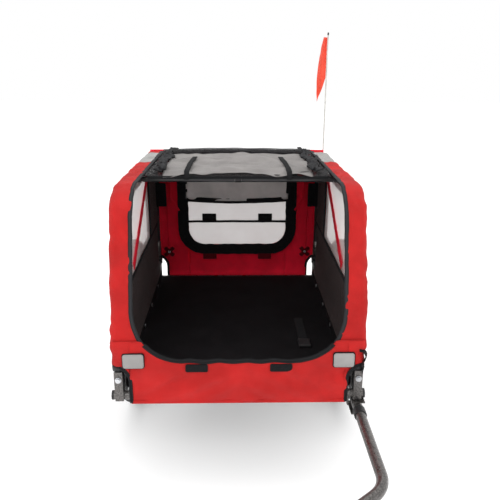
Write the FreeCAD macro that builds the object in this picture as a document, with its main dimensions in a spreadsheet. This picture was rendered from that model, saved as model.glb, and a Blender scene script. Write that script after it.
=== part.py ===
"""Bicycle trailer with a folding fabric cabin, as a parametric FreeCAD document.

The frame is +X to the trailer's left, -Y forward (the way it is towed), +Z up, with the origin on the
ground at the middle of the overall length and width. All sizes are millimetres.
"""
import FreeCAD, Part
import math
import os
import Sketcher
from FreeCAD import Placement, Rotation, Vector

DIMENSIONS = {
    # base frame
    "base_z": 250, "front_y": -102.8, "frame_length": 785, "bar_half": 302, "tube_r": 11, "tube_wall": 1.5,
    "rail_x": 262, "plug_length": 5, "axle_y": 430,
    # folding sides
    "side_x": 287, "pivot_z": 50, "foot_z": 15, "knee_z": 140, "shoulder_y": 100, "shoulder_z": 474,
    "roof_rear_z": 457, "knee_r": 150, "shoulder_r": 90, "corner_r": 45, "bolt_r": 3, "fit_gap": 0.05,
    "bracket_w": 20, "bracket_gap": 27, "bracket_t": 3, "bracket_top": 70, "saddle_top": 12.5,
    # roof bars, one half on each side
    "roof_bar_r": 7, "roof_bar_y": 300, "roof_bar_rear_y": 740, "roof_bar_pivot_x": 266, "roof_bar_end_x": 9,
    "roof_bar_drop": 5,
    # fabric
    "cloth": 3, "floor_z": 11.5, "floor_half": 276, "hem_top": 36, "opening_half": 250, "opening_z": 100,
    "opening_corner": 120, "panel_half": 298, "panel_bottom": 12, "front_cloth_y": 19, "cutout_half": 258,
    "cutout_z": 45, "cutout_r": 45, "rear_cloth_y": 798, "window_half": 175, "window_bottom": 127,
    "lining_top": 215, "panel_low": 41, "panel_inset": 26, "strip_in": 232, "roof_gap": 14,
    # wheels
    "wheel_r": 250, "wheel_x": 321, "tyre_r": 21, "tyre_wall": 3.5, "rim_r": 211, "rim_in": 196,
    "rim_half": 13, "hub_half": 23, "hub_r": 16, "flange_r": 23, "bearing_r": 12, "bearing_w": 6,
    "axle_r": 5.98, "spoke_r": 1.1, "spoke_count": 20, "sleeve_r": 11, "sleeve_in": 236, "sleeve_out": 296,
    # tow arm and hitch
    "arm_x": 290, "arm_z": 30, "arm_r": 12.5, "arm_tail": 30, "arm_run": 262, "arm_bend_r": 80,
    "arm_bend_deg": 50, "arm_mid": 110, "arm_end": 30, "pin_r": 4, "tongue_t": 6,
    "tongue_reach": 24,
    # flag
    "flag_x": 300, "flag_y": 807, "flag_r": 2, "flag_low": 310, "flag_tip": 856,
}

document = FreeCAD.newDocument("trailer")
sheet = document.addObject("Spreadsheet::Sheet", "sizes")
for row, (alias, number) in enumerate(DIMENSIONS.items(), start=1):
    sheet.set(f"A{row}", alias)
    sheet.set(f"B{row}", str(number))
    sheet.setAlias(f"B{row}", alias)
document.recompute()

nodes = []
AXIS_TURN = {"X": Rotation(Vector(0, 1, 0), 90), "Y": Rotation(Vector(1, 0, 0), -90), "Z": Rotation()}


def size(alias):
    """A driving dimension, read back from the spreadsheet."""
    return float(getattr(sheet, alias))


def bound(text):
    """An expression over the sheet's aliases, written with plain alias names."""
    words = []
    for word in str(text).replace("(", "( ").replace(")", " )").split():
        words.append(f"sizes.{word}" if word in DIMENSIONS else word)
    return " ".join(words)


def node(name, shape_object):
    """Name an object as one of the trailer's sub-parts."""
    shape_object.Label = name
    nodes.append(shape_object)
    return shape_object


def put(item, at, axis="Z"):
    """Place an object: x, y from the front crossbar, and z from the base tubes, as expressions."""
    item.Placement = Placement(Vector(), AXIS_TURN[axis])
    item.setExpression("Placement.Base.x", bound(at[0]))
    item.setExpression("Placement.Base.y", bound(f"front_y + {at[1]}"))
    item.setExpression("Placement.Base.z", bound(f"base_z + {at[2]}"))
    return item


def cylinder(radius, length, at, axis="Z"):
    item = document.addObject("Part::Cylinder", "cylinder")
    item.setExpression("Radius", bound(radius))
    item.setExpression("Height", bound(length))
    return put(item, at, axis)


def box(lengths, at):
    item = document.addObject("Part::Box", "box")
    for side, length in zip(("Length", "Width", "Height"), lengths):
        item.setExpression(side, bound(length))
    return put(item, at)


def cut(base, *tools):
    for tool in tools:
        result = document.addObject("Part::Cut", "cut")
        result.Base, result.Tool = base, tool
        base = result
    return base


def fuse(*items):
    result = document.addObject("Part::MultiFuse", "fuse")
    result.Shapes = list(items)
    return result


def group(*items):
    """Identical loose pieces that share one node."""
    result = document.addObject("Part::Compound", "group")
    result.Links = list(items)
    return result


def pipe(radius, wall, length, at, axis):
    return cut(cylinder(radius, length, at, axis), cylinder(f"{radius} - ( {wall} )", length, at, axis))


def solid(name, shape):
    """A sub-part whose shape Part's own functions make, in the sheet's sizes."""
    item = document.addObject("Part::Feature", "solid")
    item.Shape = shape
    item.Placement = Placement(Vector(0, size("front_y"), size("base_z")), Rotation())
    return node(name, item)


def rounded_path(points, radii):
    """Straight runs between the points, joined by tangent arcs of the given radii."""
    edges = []
    start = points[0]
    for before, corner, after, radius in zip(points, points[1:], points[2:], radii):
        inward = (before - corner).normalize()
        outward = (after - corner).normalize()
        half = inward.getAngle(outward) / 2
        reach = radius / math.tan(half)
        middle = corner + (inward + outward).normalize() * (radius / math.sin(half) - radius)
        first, last = corner + inward * reach, corner + outward * reach
        edges.append(Part.LineSegment(start, first).toShape())
        edges.append(Part.Arc(first, middle, last).toShape())
        start = last
    edges.append(Part.LineSegment(start, points[-1]).toShape())
    return Part.Wire(edges)


def swept_rod(path, radius):
    """A solid round rod along a path."""
    start = path.OrderedVertexes[0].Point
    ahead = path.OrderedEdges[0].tangentAt(path.OrderedEdges[0].FirstParameter)
    return path.makePipeShell([Part.Wire(Part.makeCircle(radius, start, ahead))], True, True)


def swept_tube(path, radius, wall):
    """A round tube along a path."""
    return swept_rod(path, radius).cut(swept_rod(path, radius - wall))


def prism(points, travel):
    """A flat outline pushed along a vector."""
    return Part.Face(Part.makePolygon(points + points[:1])).extrude(travel)


def revolved_body(outline, at):
    """A PartDesign revolution about X; outline points are (x, radius) expressions from the wheel's middle."""
    body = document.addObject("PartDesign::Body", "turned")
    sketch = body.newObject("Sketcher::SketchObject", "outline")
    plane = next(item for item in body.Origin.OriginFeatures if item.Role == "XY_Plane")
    sketch.AttachmentSupport, sketch.MapMode = [(plane, "")], "FlatFace"
    corners = [tuple(float(sheet.evalExpression(bound(text).replace("sizes.", ""))) for text in point)
               for point in outline]
    count = len(corners)
    for index in range(count):
        near, far = corners[index], corners[(index + 1) % count]
        sketch.addGeometry(Part.LineSegment(Vector(*near, 0), Vector(*far, 0)))
    for index in range(count):
        sketch.addConstraint(Sketcher.Constraint("Coincident", index, 2, (index + 1) % count, 1))
    for index, (across, radius) in enumerate(outline):
        for kind, text, number in (("DistanceX", across, corners[index][0]),
                                   ("DistanceY", radius, corners[index][1])):
            label = f"{kind}{index}"
            rank = sketch.addConstraint(Sketcher.Constraint(kind, -1, 1, index, 1, number))
            sketch.renameConstraint(rank, label)
            sketch.setExpression(f"Constraints.{label}", bound(text))
    turn = body.newObject("PartDesign::Revolution", "turn")
    turn.Profile = sketch
    turn.ReferenceAxis = (sketch, ["H_Axis"])
    turn.Angle = 360
    return put(body, at)


SIDES = {"left": 1, "right": -1}


def base_frame():
    """Two crossbars, two rails, the axle crossbar with its sleeves, and the plugs in the open ends."""
    crossbars = [pipe("tube_r", "tube_wall", "2 * bar_half", ("0 - bar_half", along, "0"), "X")
                 for along in ("0", "frame_length")]
    crossbars.append(pipe("tube_r", "tube_wall", "2 * sleeve_in", ("0 - sleeve_in", "axle_y", "0"), "X"))
    node("crossbars", group(*crossbars))
    rails, sleeves, plugs = [], [], []
    for sign in SIDES.values():
        rail = pipe("tube_r", "tube_wall", "frame_length - 10", (f"{sign} * rail_x", "5", "0"), "Y")
        tools = [cylinder("tube_r", "2 * bar_half", ("0 - bar_half", along, "0"), "X")
                 for along in ("0", "frame_length")]
        sleeve_start = "sleeve_in" if sign > 0 else "0 - sleeve_out"
        tools.append(cylinder("sleeve_r", "sleeve_out - sleeve_in", (sleeve_start, "axle_y", "0"), "X"))
        rails.append(cut(rail, *tools))
        sleeves.append(pipe("sleeve_r", "sleeve_r - axle_r - fit_gap", "sleeve_out - sleeve_in",
                            (sleeve_start, "axle_y", "0"), "X"))
        plug_start = "bar_half" if sign > 0 else "0 - bar_half - plug_length"
        for along in ("0", "frame_length"):
            plugs.append(cylinder("tube_r + 0.5", "plug_length", (plug_start, along, "0"), "X"))
    node("base_rails", group(*rails))
    node("axle_sleeves", group(*sleeves))
    node("end_plugs", group(*plugs))


def fold_brackets():
    """A saddle with two ears on each end of both crossbars, and the bolt each folding side turns on."""
    brackets, bolts = [], []
    for sign in SIDES.values():
        for along, out in (("0", -1), ("frame_length", 1)):
            low_x = f"{sign} * side_x - bracket_w / 2"
            block = box(("bracket_w", "bracket_gap + 2 * bracket_t", "bracket_top + 8"),
                        (low_x, f"{along} - bracket_gap / 2 - bracket_t", "-8"))
            slot = box(("bracket_w", "bracket_gap", "bracket_top"),
                       (low_x, f"{along} - bracket_gap / 2", "saddle_top"))
            bar = cylinder("tube_r", "2 * bar_half", ("0 - bar_half", along, "0"), "X")
            ear_reach = "bracket_gap + 2 * bracket_t + 2"
            hole = cylinder("bolt_r", ear_reach, (f"{sign} * side_x", f"{along} - ( {ear_reach} ) / 2",
                                                  "pivot_z"), "Y")
            brackets.append(cut(block, slot, bar, hole))
            shank = cylinder("bolt_r", "46", (f"{sign} * side_x", f"{along} - 23", "pivot_z"), "Y")
            ends = [cylinder("bolt_r + 2.5", "4", (f"{sign} * side_x", f"{along} + {place}", "pivot_z"), "Y")
                    for place in ((19.5, -23.5) if out > 0 else (-23.5, 19.5))]
            bolts.append(fuse(shank, *ends))
            for place in (-19.2, 16.8):
                spot = (f"{sign} * side_x", f"{along} + {place}", "pivot_z")
                bolts.append(cut(cylinder("bolt_r + 4.5", "2.4", spot, "Y"),
                                   cylinder("bolt_r", "2.4", spot, "Y")))
    node("fold_brackets", group(*brackets))
    node("fold_bolts", group(*bolts))


def side_outline(sign):
    """The hoop's corners: front foot, knee, shoulder, roof corner and rear foot."""
    across, length = sign * size("side_x"), size("frame_length")
    return [Vector(across, 0, size("foot_z")), Vector(across, 0, size("knee_z")),
            Vector(across, size("shoulder_y"), size("shoulder_z")),
            Vector(across, length, size("roof_rear_z")), Vector(across, length, size("foot_z"))]


def roof_height(along):
    """Height of the top rail's middle at a distance behind the front crossbar."""
    rise = size("roof_rear_z") - size("shoulder_z")
    run = size("frame_length") - size("shoulder_y")
    return size("shoulder_z") + rise * (along - size("shoulder_y")) / run


def side_frames():
    """Each side's bent hoop, its lining and its window."""
    radii = [size("knee_r"), size("shoulder_r"), size("corner_r")]
    tube, wall, length = size("tube_r"), size("tube_wall"), size("frame_length")
    for side, sign in SIDES.items():
        across = sign * size("side_x")
        path = rounded_path(side_outline(sign), radii)
        hoop = swept_tube(path, tube, wall)
        for along in (0, length):
            hole = Part.makeCylinder(size("bolt_r") + size("fit_gap"), 3 * tube,
                                     Vector(across, along - 1.5 * tube, size("pivot_z")), Vector(0, 1, 0))
            hoop = hoop.cut(hole)
        solid(f"{side}_side_hoop", hoop)

        around = swept_rod(path, tube + 0.5)
        whole = Part.Face(Part.Wire(rounded_path(side_outline(sign), radii).Edges
                                    + [Part.LineSegment(side_outline(sign)[-1],
                                                        side_outline(sign)[0]).toShape()]))
        sheet_solid = whole.extrude(Vector(size("cloth"), 0, 0))
        sheet_solid.translate(Vector(-size("cloth") / 2, 0, 0))
        sheet_solid = sheet_solid.cut(around)
        low, seam = size("panel_low"), size("lining_top")
        inset = size("panel_inset")
        lower = Part.makeBox(40, length - 2 * inset, seam - low, Vector(across - 20, inset, low))
        upper = Part.makeBox(40, length - tube, 400, Vector(across - 20, tube, seam + 0.3))
        solid(f"{side}_side_lining", sheet_solid.common(lower))
        solid(f"{side}_side_window", sheet_solid.common(upper))


BAR_SPOTS = {"front": "roof_bar_y", "rear": "roof_bar_rear_y"}


def bar_height(end):
    """The rear bars sit lower than the front ones, so that they pass each other as the sides fold."""
    return roof_height(size(BAR_SPOTS[end])) - (size("roof_bar_drop") if end == "rear" else 0)


def roof_bars():
    """Half bars that hold the sides apart, on upright pins in lugs, with a soft sleeve in the middle."""
    radius, inner, end_x = size("roof_bar_r"), size("roof_bar_pivot_x"), size("roof_bar_end_x")
    sleeves = []
    for side, sign in SIDES.items():
        lugs = []
        for end, place in BAR_SPOTS.items():
            along, height = size(place), bar_height(end)
            rod = Part.makeCylinder(radius, inner + 4 - end_x, Vector(sign * end_x, along, height),
                                    Vector(sign, 0, 0))
            flat = Part.makeBox(24, 2 * radius, 4, Vector(sign * inner - 12, along - radius, height + 4))
            rod = rod.cut(flat)
            flat = Part.makeBox(24, 2 * radius, 4, Vector(sign * inner - 12, along - radius, height - 8))
            rod = rod.cut(flat)
            bore = Part.makeCylinder(2 + size("fit_gap"), 30, Vector(sign * inner, along, height - 15))
            solid(f"{side}_{end}_roof_bar", rod.cut(bore))
            for low in (height + 4.3, height - 7.3):
                plate = Part.makeBox(26, 14, 3, Vector(min(sign * (inner - 8), sign * (inner + 18)),
                                                       along - 7, low))
                rail = Part.makeCylinder(size("tube_r") + 0.35, 60, Vector(sign * size("side_x"), along - 30,
                                                                    roof_height(along - 30)),
                                         Vector(0, 60, roof_height(along + 30) - roof_height(along - 30)))
                lugs.append(plate.cut(rail).cut(Part.makeCylinder(2, 30, Vector(sign * inner, along,
                                                                              height - 15))))
            lugs.append(Part.makeCylinder(2, 17, Vector(sign * inner, along, height - 8.5)))
        solid(f"{side}_bar_lugs", Part.makeCompound(lugs))
    for end, place in BAR_SPOTS.items():
        sleeves.append(Part.makeCylinder(radius + 1, 2 * end_x - 0.8,
                                         Vector(0.4 - end_x, size(place), bar_height(end)), Vector(1, 0, 0)))
    solid("bar_sleeves", Part.makeCompound(sleeves))


def floor():
    """The floor sheet with turned-up side hems, the snaps along the hems, and the tether with its buckle."""
    start, length, cloth = 14, size("frame_length") - 28, size("cloth")
    half, low, top = size("floor_half"), size("floor_z"), size("hem_top")
    outline = [Vector(-half, start, low), Vector(half, start, low), Vector(half, start, top),
               Vector(half - cloth, start, top), Vector(half - cloth, start, low + cloth),
               Vector(cloth - half, start, low + cloth), Vector(cloth - half, start, top),
               Vector(-half, start, top)]
    solid("floor_panel", prism(outline, Vector(0, length, 0)))
    snaps = []
    for sign in SIDES.values():
        for along in (95, 190, 330, 480, 640):
            snaps.append(Part.makeCylinder(6, 1.6, Vector(sign * (half - cloth), along, top - 9),
                                           Vector(-sign, 0, 0)))
    solid("floor_snaps", Part.makeCompound(snaps))
    top_face = low + cloth
    strap = Part.makeBox(25, 150, 2, Vector(172, 250, top_face))
    buckle = Part.makeBox(34, 42, 9, Vector(168, 207.5, top_face))
    buckle = buckle.makeFillet(2.5, buckle.Edges)
    solid("tether_strap", strap)
    solid("tether_buckle", buckle)


def front_fabric():
    """The low front panel with its corner cut-outs, and the cheek on each side of the opening."""
    outer, low, opening = size("panel_half"), -size("panel_bottom"), size("opening_half")
    front, cloth, top, knee = -size("front_cloth_y"), size("cloth"), size("opening_z"), size("knee_z")
    corner, edge = size("opening_corner"), size("cutout_half")
    arc_z, arc_r = size("cutout_z"), size("cutout_r")
    start = opening - corner
    reach = start + math.sqrt(corner ** 2 - (corner - (knee - top)) ** 2)
    half_rise = (knee - top) / 2
    through = start + math.sqrt(corner ** 2 - (corner - half_rise) ** 2)
    cut_centre = edge + arc_r
    shoulder_z = arc_z + math.sqrt(arc_r ** 2 - (cut_centre - outer) ** 2)
    lean = math.radians(45)
    arc_middle = (cut_centre - arc_r * math.cos(lean), arc_z + arc_r * math.sin(lean))

    def spot(x, z):
        return Vector(x, front, z)

    def edges(sign):
        """One half of the outline, from the bottom corner up to the opening's lower edge."""
        points = [(edge, low), (edge, arc_z), (outer, shoulder_z), (outer, knee), (reach, knee), (start, top)]
        at = [spot(sign * x, z) for x, z in points]
        cutout = Part.Arc(at[1], spot(sign * arc_middle[0], arc_middle[1]), at[2])
        return [Part.LineSegment(at[0], at[1]), cutout,
                Part.LineSegment(at[2], at[3]), Part.LineSegment(at[3], at[4]),
                Part.Arc(at[4], spot(sign * through, top + half_rise), at[5])]

    line = [Part.LineSegment(spot(-edge, low), spot(edge, low)), Part.LineSegment(spot(-start, top),
                                                                                 spot(start, top))]
    curves = [curve.toShape() for curve in edges(1) + edges(-1) + line]
    outline = Part.Wire(Part.__sortEdges__(curves))
    solid("front_panel", Part.Face(outline).extrude(Vector(0, cloth, 0)))

    back = front + cloth
    rise_y, rise_z = size("shoulder_y"), size("shoulder_z")
    cheeks = []
    for sign in SIDES.values():
        low_x = min(sign * opening, sign * outer)
        profile = [(front, knee + 0.3), (back, knee + 0.3), (back, knee + 8), (rise_y - 16, rise_z + 4),
                   (rise_y + 22, rise_z + 13), (rise_y + 22, rise_z + 16), (rise_y - 20, rise_z + 8),
                   (front, knee + 11)]
        cheeks.append(prism([Vector(low_x, y, z) for y, z in profile], Vector(outer - opening, 0, 0)))
    solid("front_cheeks", Part.makeCompound(cheeks))


def roof_fabric():
    """The mesh roof, the strip over each top rail, the opened front cover lying on it, and its straps."""
    rear, cloth, gap = size("frame_length") + 12, size("cloth"), size("roof_gap")
    inner, outer = size("strip_in"), size("panel_half")

    def slab(low_x, high_x, start, stop, rise, depth):
        """A flat piece that follows the roof's slope."""
        ends = [(start, roof_height(start) + rise), (stop, roof_height(stop) + rise)]
        outline = [Vector(low_x, y, z) for y, z in ends] + [Vector(low_x, y, z + depth)
                                                            for y, z in reversed(ends)]
        return prism(outline, Vector(high_x - low_x, 0, 0))

    solid("roof_mesh", slab(0.3 - inner, inner - 0.3, size("roof_bar_y") - 8, rear, gap, cloth))
    strips = [slab(low_x, low_x + outer - inner, size("shoulder_y") + 24, rear, gap, cloth)
              for low_x in (inner, -outer)]
    solid("roof_strips", Part.makeCompound(strips))
    solid("folded_front_cover", slab(-205, 205, size("roof_bar_y") + 14, rear - 70, gap + cloth + 0.3, 14))
    straps = []
    for sign in SIDES.values():
        centre = sign * 130
        top = roof_height(size("roof_bar_y"))
        front_run = Part.makeBox(22, 2, 26, Vector(centre - 11, size("roof_bar_y") - 10.5, top - 8))
        top_run = slab(centre - 11, centre + 11, size("roof_bar_y") - 10.5, size("roof_bar_y") + 13.5,
                       gap + cloth + 0.3, 2)
        straps += [front_run.fuse(top_run).removeSplitter()]
    solid("cover_straps", Part.makeCompound(straps))


def rear_fabric():
    """The rear wall round its window, and the window sheet."""
    start, cloth, outer = size("rear_cloth_y"), size("cloth"), size("panel_half")
    top = roof_height(start) + size("roof_gap") - 0.5
    corner, half, low = size("cutout_r"), size("window_half"), size("window_bottom")
    wall = Part.makeBox(2 * outer, cloth, top + 12, Vector(-outer, start, -12))
    for sign in SIDES.values():
        wall = wall.cut(Part.makeCylinder(corner, 20, Vector(sign * outer, start - 5, 43), Vector(0, 1, 0)))
        low_x = min(sign * outer, sign * (outer - corner))
        wall = wall.cut(Part.makeBox(corner, 20, 55, Vector(low_x, start - 5, -12)))
    hole = Part.makeBox(2 * half, 20, top - low - 28, Vector(-half, start - 5, low))
    lower_edges = [edge for edge in hole.Edges if edge.BoundBox.YLength > 10 and edge.BoundBox.ZMax < low + 1]
    hole = hole.makeFillet(60, lower_edges)
    solid("rear_wall", wall.cut(hole))
    window = hole.common(Part.makeBox(2 * outer, 1.5, 2 * top, Vector(-outer, start + 0.7, 0)))
    solid("rear_window", window)


def wheels():
    """A wheel each side, on bearings, on a quick-release axle that pushes into the frame's sleeve."""
    for side, sign in SIDES.items():
        middle = f"{sign} * wheel_x"
        ring = document.addObject("Part::Torus", "ring")
        hollow = document.addObject("Part::Torus", "hollow")
        for torus, radius in ((ring, "tyre_r"), (hollow, "tyre_r - tyre_wall")):
            torus.setExpression("Radius1", bound("wheel_r - tyre_r"))
            torus.setExpression("Radius2", bound(radius))
            put(torus, (middle, "axle_y", "0"), "X")
        seat = cylinder("rim_r", "4 * tyre_r", (f"{middle} - 2 * tyre_r", "axle_y", "0"), "X")
        node(f"{side}_tyre", cut(ring, hollow, seat))
        rim = [("0 - rim_half + 4", "rim_in"), ("rim_half - 4", "rim_in"), ("rim_half", "rim_in + 7"),
               ("rim_half", "rim_r"), ("rim_half - 2", "rim_r"), ("rim_half - 4", "rim_in + 9"),
               ("4 - rim_half", "rim_in + 9"), ("2 - rim_half", "rim_r"), ("0 - rim_half", "rim_r"),
               ("0 - rim_half", "rim_in + 7")]
        node(f"{side}_rim", revolved_body(rim, (middle, "axle_y", "0")))
        hub = [("0 - hub_half", "bearing_r"), ("hub_half", "bearing_r"), ("hub_half", "hub_r"),
               ("hub_half - 3", "hub_r"), ("hub_half - 3", "flange_r"), ("hub_half - 6", "flange_r"),
               ("hub_half - 8", "hub_r"), ("8 - hub_half", "hub_r"), ("6 - hub_half", "flange_r"),
               ("3 - hub_half", "flange_r"), ("3 - hub_half", "hub_r"), ("0 - hub_half", "hub_r")]
        node(f"{side}_hub", revolved_body(hub, (middle, "axle_y", "0")))
        bearings = [pipe("bearing_r", "bearing_r - axle_r - fit_gap", "bearing_w",
                         (f"{middle} + {place}", "axle_y", "0"), "X") for place in ("0 - hub_half",
                                                                                  "hub_half - bearing_w")]
        node(f"{side}_bearings", group(*bearings))
        wheel_details(side, sign)
        quick_release(side, sign)


def wheel_details(side, sign):
    """Spokes from the hub's flanges to the rim, and two reflectors between spokes."""
    centre = Vector(sign * size("wheel_x"), size("axle_y"), 0)
    count, hub_reach, flange = int(size("spoke_count")), size("flange_r") - 3, size("hub_half") - 4.5
    hub_end = centre - Vector(size("hub_half"), 0, 0)
    flanges = Part.makeCylinder(size("flange_r"), 2 * size("hub_half"), hub_end, Vector(1, 0, 0))
    spokes = []
    for index in range(count):
        angle = 2 * math.pi * index / count
        lead = 0.9 if index % 4 < 2 else -0.9
        start_angle = angle - lead
        start = centre + Vector(flange if index % 2 else -flange, hub_reach * math.cos(start_angle),
                                hub_reach * math.sin(start_angle))
        stop = centre + Vector(0, (size("rim_in") - 0.5) * math.cos(angle),
                               (size("rim_in") - 0.5) * math.sin(angle))
        run = stop - start
        spokes.append(Part.makeCylinder(size("spoke_r"), run.Length, start, run).cut(flanges))
    solid(f"{side}_spokes", Part.makeCompound(spokes))
    reflectors = []
    for index in (count // 4, 3 * count // 4):
        turn = math.degrees(2 * math.pi * (index + 0.5) / count)
        plate = Part.makeBox(7, 44, 13, Vector(-3.5, 118, -6.5))
        plate.rotate(Vector(), Vector(1, 0, 0), turn)
        plate.translate(centre)
        reflectors.append(plate)
    solid(f"{side}_wheel_reflectors", Part.makeCompound(reflectors))


def quick_release(side, sign):
    """The wheel's pull-out axle with its flanged head, and the release button in it."""
    inner, head = size("sleeve_in") + 4, size("wheel_x") + size("hub_half") + 0.5
    outward = Vector(sign, 0, 0)

    def at(across):
        return Vector(sign * across, size("axle_y"), 0)

    shaft = Part.makeCylinder(size("axle_r"), head + 1 - inner, at(inner), outward)
    cap = Part.makeCylinder(11, 6, at(head), outward)
    bore = Part.makeCylinder(4.6, 6, at(head + 1), outward)
    solid(f"{side}_axle", shaft.fuse(cap).cut(bore).removeSplitter())
    solid(f"{side}_release_button", Part.makeCylinder(4.55, 5, at(head + 4.3), outward))


def tow_arm():
    """The bent arm under the front crossbar, on an upright bolt in a bracket, with its collar."""
    across, down, radius = size("arm_x"), -size("arm_z"), size("arm_r")
    bend, turn = size("arm_bend_r"), math.radians(size("arm_bend_deg"))
    tangent = bend * math.tan(turn / 2)
    corner = -(size("arm_run") + tangent)
    reach = size("arm_mid") + 2 * tangent
    second = Vector(across - reach * math.sin(turn), corner - reach * math.cos(turn), down)
    stop = second + Vector(0, -(tangent + size("arm_end")), 0)
    points = [Vector(across, size("arm_tail"), down), Vector(across, corner, down), second, stop]
    tube = swept_tube(rounded_path(points, [bend, bend]), radius, 2)
    pivot = Vector(across, 0, down)
    bolt_hole = Part.makeCylinder(size("pin_r") + size("fit_gap"), 60, pivot - Vector(0, 0, 30))
    solid("tow_arm_tube", tube.cut(bolt_hole).fuse(tongue(stop)).removeSplitter())
    collar_at = Vector(across, -54, down)
    collar = Part.makeCylinder(radius + 2.5, 24, collar_at, Vector(0, 1, 0))
    solid("tow_arm_collar", collar.cut(Part.makeCylinder(radius, 24, collar_at, Vector(0, 1, 0))))
    plates = [Part.makeBox(32, 58, 3, Vector(across - 16, -22, height))
              for height in (down + radius + 1.5, down - radius - 4.5)]
    web = Part.makeBox(3, 18, 2 * radius + 6, Vector(across - 19, 18, down - radius - 3))
    feet = Part.makeBox(3, 18, 2 * radius + 9, Vector(across - 19, 18, down - radius - 4.5))
    bracket = plates[0].fuse(plates[1]).fuse(web).fuse(feet).removeSplitter()
    crossbar = Part.makeCylinder(size("tube_r"), 100, Vector(across - 50, 0, 0), Vector(1, 0, 0))
    pin_bore = Part.makeCylinder(3.05, 10, Vector(across - 22, 27, down), Vector(1, 0, 0))
    bracket = bracket.cut(crossbar).cut(Part.makeCylinder(size("pin_r"), 80, pivot - Vector(0, 0, 40)))
    solid("tow_bracket", bracket.cut(pin_bore))
    head = Part.makeCylinder(7, 5, pivot - Vector(0, 0, radius + 9.7))
    shank = Part.makeCylinder(size("pin_r"), 2 * radius + 10, pivot - Vector(0, 0, radius + 5))
    solid("tow_pivot_bolt", head.fuse(shank).removeSplitter())
    pin = Part.makeCylinder(3, 24, Vector(across - radius - 0.6 - 24, 27, down), Vector(1, 0, 0))
    ring = Part.makeTorus(9, 1.8, Vector(across - radius - 0.6 - 32, 27, down), Vector(0, 1, 0))
    solid("tow_pull_pin", pin.fuse(ring).removeSplitter())
    hitch(stop)


def tongue(stop):
    """The flat tongue welded into the arm's end, with the hole for the yaw bolt."""
    thick = size("tongue_t")
    blade = Part.makeBox(20, 34, thick, stop + Vector(-10, -34, -thick / 2))
    plug = Part.makeCylinder(size("arm_r"), 6, stop - Vector(0, 6, 0), Vector(0, 1, 0))
    hole = Part.makeCylinder(size("pin_r") + size("fit_gap"), 20, stop - Vector(0, size("tongue_reach"), 10))
    return blade.fuse(plug).cut(hole)


def hitch(stop):
    """The yoke that swings on it, and the plate for a bicycle's rear axle."""
    across, ahead, height = stop.x, stop.y, stop.z
    pin, gap = size("pin_r"), size("tongue_t") / 2 + 0.4
    yaw_y, pin_y, axle_y = ahead - size("tongue_reach"), ahead - 66, ahead - 106
    ears = [Part.makeBox(20, 36, 4, Vector(across - 10, yaw_y - 24, low)) for low in (height + gap,
                                                                                     height - gap - 4)]
    nose = Part.makeBox(20, 46, 2 * gap + 8, Vector(across - 10, pin_y - 12, height - gap - 4))
    nose = nose.cut(Part.makeBox(20, 32, 2 * gap, Vector(across - 10, yaw_y - 14.6, height - gap)))
    yoke = ears[0].fuse(ears[1]).fuse(nose).removeSplitter()
    yoke = yoke.cut(Part.makeCylinder(pin, 60, Vector(across, yaw_y, height - 30)))
    cross_bore = Part.makeCylinder(pin + size("fit_gap"), 60, Vector(across - 30, pin_y, height),
                                   Vector(1, 0, 0))
    solid("hitch_yoke", yoke.cut(cross_bore))
    bolt = Part.makeCylinder(pin, 2 * gap + 12, Vector(across, yaw_y, height - gap - 6))
    head = Part.makeCylinder(7, 4, Vector(across, yaw_y, height + gap + 4))
    solid("hitch_yaw_bolt", bolt.fuse(head).removeSplitter())

    plates = [Part.makeBox(4, 30, 30, Vector(across + low, pin_y - 15, height - 15)) for low in (-14.4, 10.4)]
    axle_plate = Part.makeBox(4, 70, 30, Vector(across + 10.4, axle_y - 15, height - 15))
    bridge = Part.makeBox(28.8, 4, 30, Vector(across - 14.4, pin_y - 19, height - 15))
    bracket = plates[0].fuse([plates[1], axle_plate, bridge]).removeSplitter()
    axle_hole = Part.makeCylinder(5.3, 20, Vector(across + 5, axle_y, height), Vector(1, 0, 0))
    solid("hitch_plate", bracket.cut(cross_bore).cut(axle_hole))
    pin_shank = Part.makeCylinder(pin, 36, Vector(across - 18, pin_y, height), Vector(1, 0, 0))
    pin_head = Part.makeCylinder(8, 4, Vector(across + 18, pin_y, height), Vector(1, 0, 0))
    solid("hitch_pin", pin_shank.fuse(pin_head).removeSplitter())


def flag():
    """The flag's socket clipped to the left rear upright, its thin pole, and the pennant."""
    across, along, radius = size("flag_x"), size("flag_y"), size("flag_r")
    low, tip = size("flag_low"), size("flag_tip")
    socket = Part.makeCylinder(5, 120, Vector(across, along, low - 10))
    bore = Part.makeCylinder(radius + size("fit_gap"), 120, Vector(across, along, low))
    clip = Part.makeBox(5, along - 776, 30, Vector(size("panel_half") + 0.6, 776, low + 20))
    solid("flag_socket", socket.fuse(clip).cut(bore).removeSplitter())
    solid("flag_pole", Part.makeCylinder(radius, tip - low, Vector(across, along, low)))
    edge = across - radius
    outline = [(edge, tip - 16), (edge, tip - 152), (edge - 8, tip - 222), (edge - 28, tip - 172),
               (edge - 24, tip - 90)]
    pennant = prism([Vector(x, along - 0.6, z) for x, z in outline], Vector(0, 1.2, 0))
    solid("flag_pennant", pennant)


def checked_shapes():
    """Stop on any failed object or bad shape, then write one STEP file per node."""
    document.recompute()
    for item in document.Objects:
        if "Invalid" in item.State or "Error" in item.State:
            raise RuntimeError(f"{item.Label} failed: {item.State}")
    os.makedirs("parts", exist_ok=True)
    for item in nodes:
        if item.Shape.isNull() or not item.Shape.isValid() or item.Shape.Volume <= 0:
            raise RuntimeError(f"{item.Label} has a bad shape")
        item.Shape.exportStep(f"parts/{item.Label}.step")


base_frame()
fold_brackets()
side_frames()
roof_bars()
floor()
front_fabric()
roof_fabric()
rear_fabric()
wheels()
tow_arm()
flag()
checked_shapes()
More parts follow.
